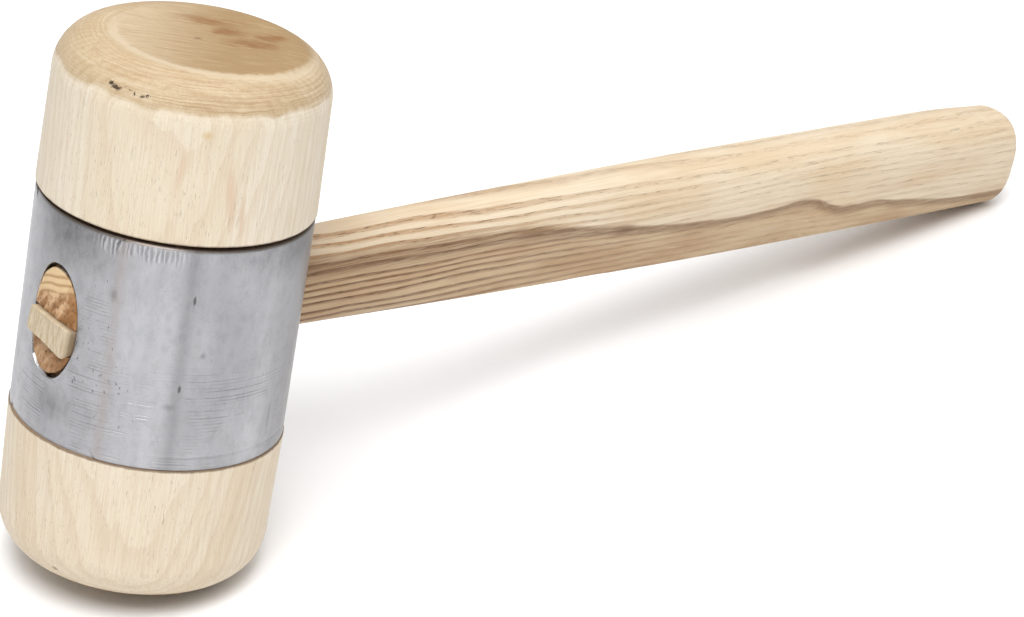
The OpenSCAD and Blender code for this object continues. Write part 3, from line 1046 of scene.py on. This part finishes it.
def make_handle(material):
    xs = np.concatenate([
        [TENON_END_X, TENON_END_X + 0.35, TENON_END_X + 1.0],
        np.linspace(TENON_END_X + 3, SLEEVE_R - 1, 24),
        np.linspace(SLEEVE_R, 60, 24),
        np.linspace(61, GRIP_END_X - END_ROUND, 280),
        GRIP_END_X - END_ROUND + END_ROUND * np.sin(np.radians(np.linspace(6, 88, 16))),
    ])
    turn = np.arange(SECTION_SIDES) * 2 * math.pi / SECTION_SIDES
    x = np.repeat(xs, SECTION_SIDES)
    c, s = np.tile(np.cos(turn), len(xs)), np.tile(np.sin(turn), len(xs))
    reach = handle_reach(x, c, s)
    place = np.stack([x, c * reach, s * reach], axis=1)
    # spokeshave facets and long hollows, all cut inwards
    shaped = ramp(x, SLEEVE_R + 2, SLEEVE_R + 20)
    hollows = 0.16 * shaped * (1 + smooth_noise(place * (0.12, 1, 1), 14.0, 31)) / 2
    shavings = 0.05 * shaped * (1 + smooth_noise(place * (0.05, 1, 1), 3.5, 32)) / 2
    # a shallow hollow runs just under the ridge
    near_ridge = np.exp(-((place[:, 2] - flank_line(x) + 2.2) / 1.6) ** 2)
    under_ridge = 0.35 * ramp(x, 150, 240) * ramp(-x, -338, -320) * near_ridge
    end_crumble = 0.25 * (x < TENON_END_X + 0.5) * (1 + smooth_noise(place, 3.0, 33)) / 2
    edge_round = np.where(x < TENON_END_X + 0.1, 0.35, 0.0)
    reach = reach - hollows - shavings - under_ridge - end_crumble - edge_round
    near_end = np.clip(1 - (x - TENON_END_X) / 2.9, 0, 1)
    place = np.stack([x + near_end * end_curve(c * reach), c * reach, s * reach], axis=1)

    # end faces as closing rings, so that they can be rough
    rings = [place]
    count = len(xs)
    for x_end, back in ((GRIP_END_X, False), (TENON_END_X, True)):
        first = place[:SECTION_SIDES] if back else place[-SECTION_SIDES:]
        caps = []
        for t in (0.9, 0.75, 0.6, 0.45, 0.3, 0.15):
            cap = first * (1, t, t)
            if back:
                cap[:, 0] = x_end + end_curve(cap[:, 1]) + 0.12 * (1 + smooth_noise(cap, 2.5, 34))
            caps.append(cap)
        if back:
            rings.insert(0, np.vstack(caps[::-1]))
        else:
            rings.append(np.vstack(caps))
        count += len(caps)
    body = np.vstack(rings)
    faces = loft_faces(count, SECTION_SIDES)
    faces += [tuple(range(SECTION_SIDES - 1, -1, -1)),
              tuple(range((count - 1) * SECTION_SIDES, count * SECTION_SIDES))]
    piece = make_piece("ash_handle", in_handle_frame(body), faces, material, "handle")
    cut_away(piece, *wedge_solid(gap=0.12))
    return piece


WEDGE_PROUD = 1.3
WEDGE_END_X = TENON_END_X - WEDGE_PROUD
WEDGE_LEN = 33.0
WEDGE_T, WEDGE_TIP_T = 6.5, 1.2
WEDGE_DROP = 1.9
WEDGE_SHIFT = 0.4
WEDGE_SKEW = 0.10
WEDGE_ROLL = math.radians(6)


def wedge_place(points):
    """Rolls the wedge a little across the eye and sets it below the middle."""
    y, z = points[:, 1], points[:, 2]
    c, s = math.cos(WEDGE_ROLL), math.sin(WEDGE_ROLL)
    return in_handle_frame(np.stack([points[:, 0], y * c - z * s, y * s + z * c - WEDGE_DROP], axis=1))


def wedge_solid(gap):
    """A plain tapered slab a little larger than the wedge, as a cutter for its slot."""
    x0, x1 = WEDGE_END_X - 4, WEDGE_END_X + WEDGE_LEN
    h0 = WEDGE_T / 2 + gap + (WEDGE_T - WEDGE_TIP_T) / 2 / WEDGE_LEN * 4
    h1 = WEDGE_TIP_T / 2
    w = 14.0
    near, far = WEDGE_SKEW * (TENON_HALF_W + w), WEDGE_SKEW * (TENON_HALF_W - w)
    corners = [(x0, -w, -h0 - near), (x0, w, -h0 - far), (x0, w, h0), (x0, -w, h0),
               (x1, -w, -h1 - near), (x1, w, -h1 - far), (x1, w, h1), (x1, -w, h1)]
    faces = [(0, 3, 2, 1), (4, 5, 6, 7), (0, 1, 5, 4), (1, 2, 6, 5), (2, 3, 7, 6), (3, 0, 4, 7)]
    return wedge_place(np.array(corners, float)), faces


def make_wedge(material):
    """The wedge as a loft of rounded rectangles, split a little rough and crushed at its driven end."""
    sides, corner, power = 96, 0.35, 14.0
    turn = np.arange(sides) * 2 * math.pi / sides
    c, s = np.cos(turn), np.sin(turn)
    xs = np.concatenate([WEDGE_END_X + np.array([0, 0.12, 0.35, 0.8]),
                         np.linspace(WEDGE_END_X + 1.5, WEDGE_END_X + WEDGE_LEN, 34)])
    rings = []
    for i, x in enumerate(xs):
        t = (x - WEDGE_END_X) / WEDGE_LEN
        half_t = (WEDGE_T + (WEDGE_TIP_T - WEDGE_T) * t) / 2
        reach = oval_reach(c, s, EYE_HALF_W - 0.7, half_t, power)
        ring = np.stack([np.full(sides, x), c * reach - WEDGE_SHIFT, s * reach], axis=1)
        rough = 0.14 * (1 + smooth_noise(ring * (0.3, 1, 1), 3.0, 41)) / 2
        rounding = corner if i == 0 else corner * 0.35 if i == 1 else 0.0
        shrink = 1 - (rough + rounding) / np.maximum(reach, 1)
        ring[:, 1:] = (ring[:, 1:] + (WEDGE_SHIFT, 0)) * shrink[:, None] - (WEDGE_SHIFT, 0)
        ring[:, 2] -= WEDGE_SKEW * (TENON_HALF_W - ring[:, 1]) * np.clip(-ring[:, 2] / half_t, 0, 1)
        rings.append(ring)
    front = rings[0]
    caps = []
    for t in (0.12, 0.3, 0.5, 0.7, 0.88):
        cap = front * (1, t, t)
        cap[:, 0] = WEDGE_END_X + 0.10 * (1 + smooth_noise(cap, 2.2, 42))
        caps.append(cap)
    points = np.vstack(caps + rings)
    count = len(caps) + len(rings)
    faces = loft_faces(count, sides)
    faces += [tuple(range(sides - 1, -1, -1)), tuple(range((count - 1) * sides, count * sides))]
    return make_piece("split_wedge", wedge_place(points), faces, material, "wedge")


# ---------------------------------------------------------------- floor, lights and camera

def resting_plane():
    """Point and lean of the floor that touches the lower rim and the end of the grip."""
    rim = Vector((FLAT_R, 0, RIM_R))
    end = in_handle_frame(np.array([(GRIP_END_X - END_ROUND, 0, END_ROUND - GRIP_HALF_H)]))[0]
    across, up = end[0] - rim.x, end[2] - rim.z
    lean = math.atan2(up, across) + math.asin((RIM_R - END_ROUND) / math.hypot(across, up))
    normal = Vector((-math.sin(lean), 0, math.cos(lean)))
    return (rim - normal * RIM_R) * MM, lean


def make_floor():
    """A plain white floor, seen from above only."""
    point, lean = resting_plane()
    half = 6.0
    mesh = bpy.data.meshes.new("floor")
    corners = [(-half, -half, 0), (half, -half, 0), (half, half, 0), (-half, half, 0)]
    mesh.from_pydata(corners, [], [(0, 1, 2, 3)])
    floor = bpy.data.objects.new("floor", mesh)
    bpy.context.scene.collection.objects.link(floor)
    floor.matrix_world = Matrix.Translation(point) @ Matrix.Rotation(-lean, 4, "Y")
    material = bpy.data.materials.new("floor_white")
    material.use_nodes = True
    tree = material.node_tree
    surface = tree.nodes["Principled BSDF"]
    surface.inputs["Base Color"].default_value = (0.925, 0.925, 0.935, 1)
    surface.inputs["Roughness"].default_value = 0.9
    surface.inputs["Specular IOR Level"].default_value = 0.0
    clear = tree.nodes.new("ShaderNodeBsdfTransparent")
    mixer = tree.nodes.new("ShaderNodeMixShader")
    back = tree.nodes.new("ShaderNodeNewGeometry").outputs["Backfacing"]
    tree.links.new(back, mixer.inputs[0])
    tree.links.new(surface.outputs[0], mixer.inputs[1])
    tree.links.new(clear.outputs[0], mixer.inputs[2])
    tree.links.new(mixer.outputs[0], tree.nodes["Material Output"].inputs["Surface"])
    mesh.materials.append(material)


def softbox(name, place, aim, size, power):
    """A square area light, in metres and watts, turned to face a point."""
    data = bpy.data.lights.new(name, "AREA")
    data.shape = "SQUARE"
    data.size = size
    data.energy = power
    light = bpy.data.objects.new(name, data)
    light.location = place
    light.rotation_mode = "QUATERNION"
    light.rotation_quaternion = (Vector(place) - Vector(aim)).to_track_quat("Z", "Y")
    bpy.context.scene.collection.objects.link(light)


def make_world():
    world = bpy.data.worlds.new("studio")
    world.use_nodes = True
    tree = world.node_tree
    direction = tree.nodes.new("ShaderNodeTexCoord").outputs["Generated"]
    split = tree.nodes.new("ShaderNodeSeparateXYZ")
    fade = tree.nodes.new("ShaderNodeMapRange")
    tree.links.new(direction, split.inputs[0])
    tree.links.new(split.outputs["Z"], fade.inputs["Value"])
    fade.inputs["From Max"].default_value = 0.8
    fade.inputs["To Min"].default_value = 0.09
    fade.inputs["To Max"].default_value = 0.93
    tree.links.new(fade.outputs[0], tree.nodes["Background"].inputs["Strength"])
    tree.nodes["Background"].inputs["Color"].default_value = (1, 1, 1, 1)
    bpy.context.scene.world = world


def make_lights():
    middle = (0.10, 0.0, 0.06)
    softbox("overhead", (0.10, 0.05, 2.0), middle, 1.6, 11.5)
    softbox("left", (-0.88, -0.57, 1.50), middle, 0.9, 23)


def make_camera():
    """The camera stands in front of the wedged end, looks down a little and is tipped to one side."""
    data = bpy.data.cameras.new("camera")
    data.sensor_width = 36.0
    data.lens = 124.5
    data.clip_start, data.clip_end = 0.05, 50
    camera = bpy.data.objects.new("camera", data)
    bpy.context.scene.collection.objects.link(camera)
    stand = Vector((-0.5546, -0.6089, 0.4259))
    aim = Vector((0.1013, -0.0266, 0.0607))
    tip = math.radians(10.23)
    look = (aim - stand).to_track_quat("-Z", "Y").to_matrix()
    camera.matrix_world = Matrix.Translation(stand) @ (look @ Matrix.Rotation(tip, 3, "Z")).to_4x4()
    bpy.context.scene.camera = camera


def main():
    make_camera()
    make_world()
    make_lights()
    make_floor()
    turned_face("lower_striking_face", 0.0, 1, LOWER_SHOULDER_Z, lower_high.z,
                lower_face_material(), "lower_face", seed=11)
    turned_face("upper_striking_face", HEAD_TOP, -1, HEAD_TOP - UPPER_SHOULDER_Z, HEAD_TOP - upper_low.z,
                upper_face_material(), "upper_face", seed=12)
    make_sleeve(steel_material())
    make_handle(handle_material())
    make_wedge(wedge_material())
    bpy.context.scene.view_settings.view_transform = "Standard"
    bpy.context.scene.view_settings.look = "None"


main()
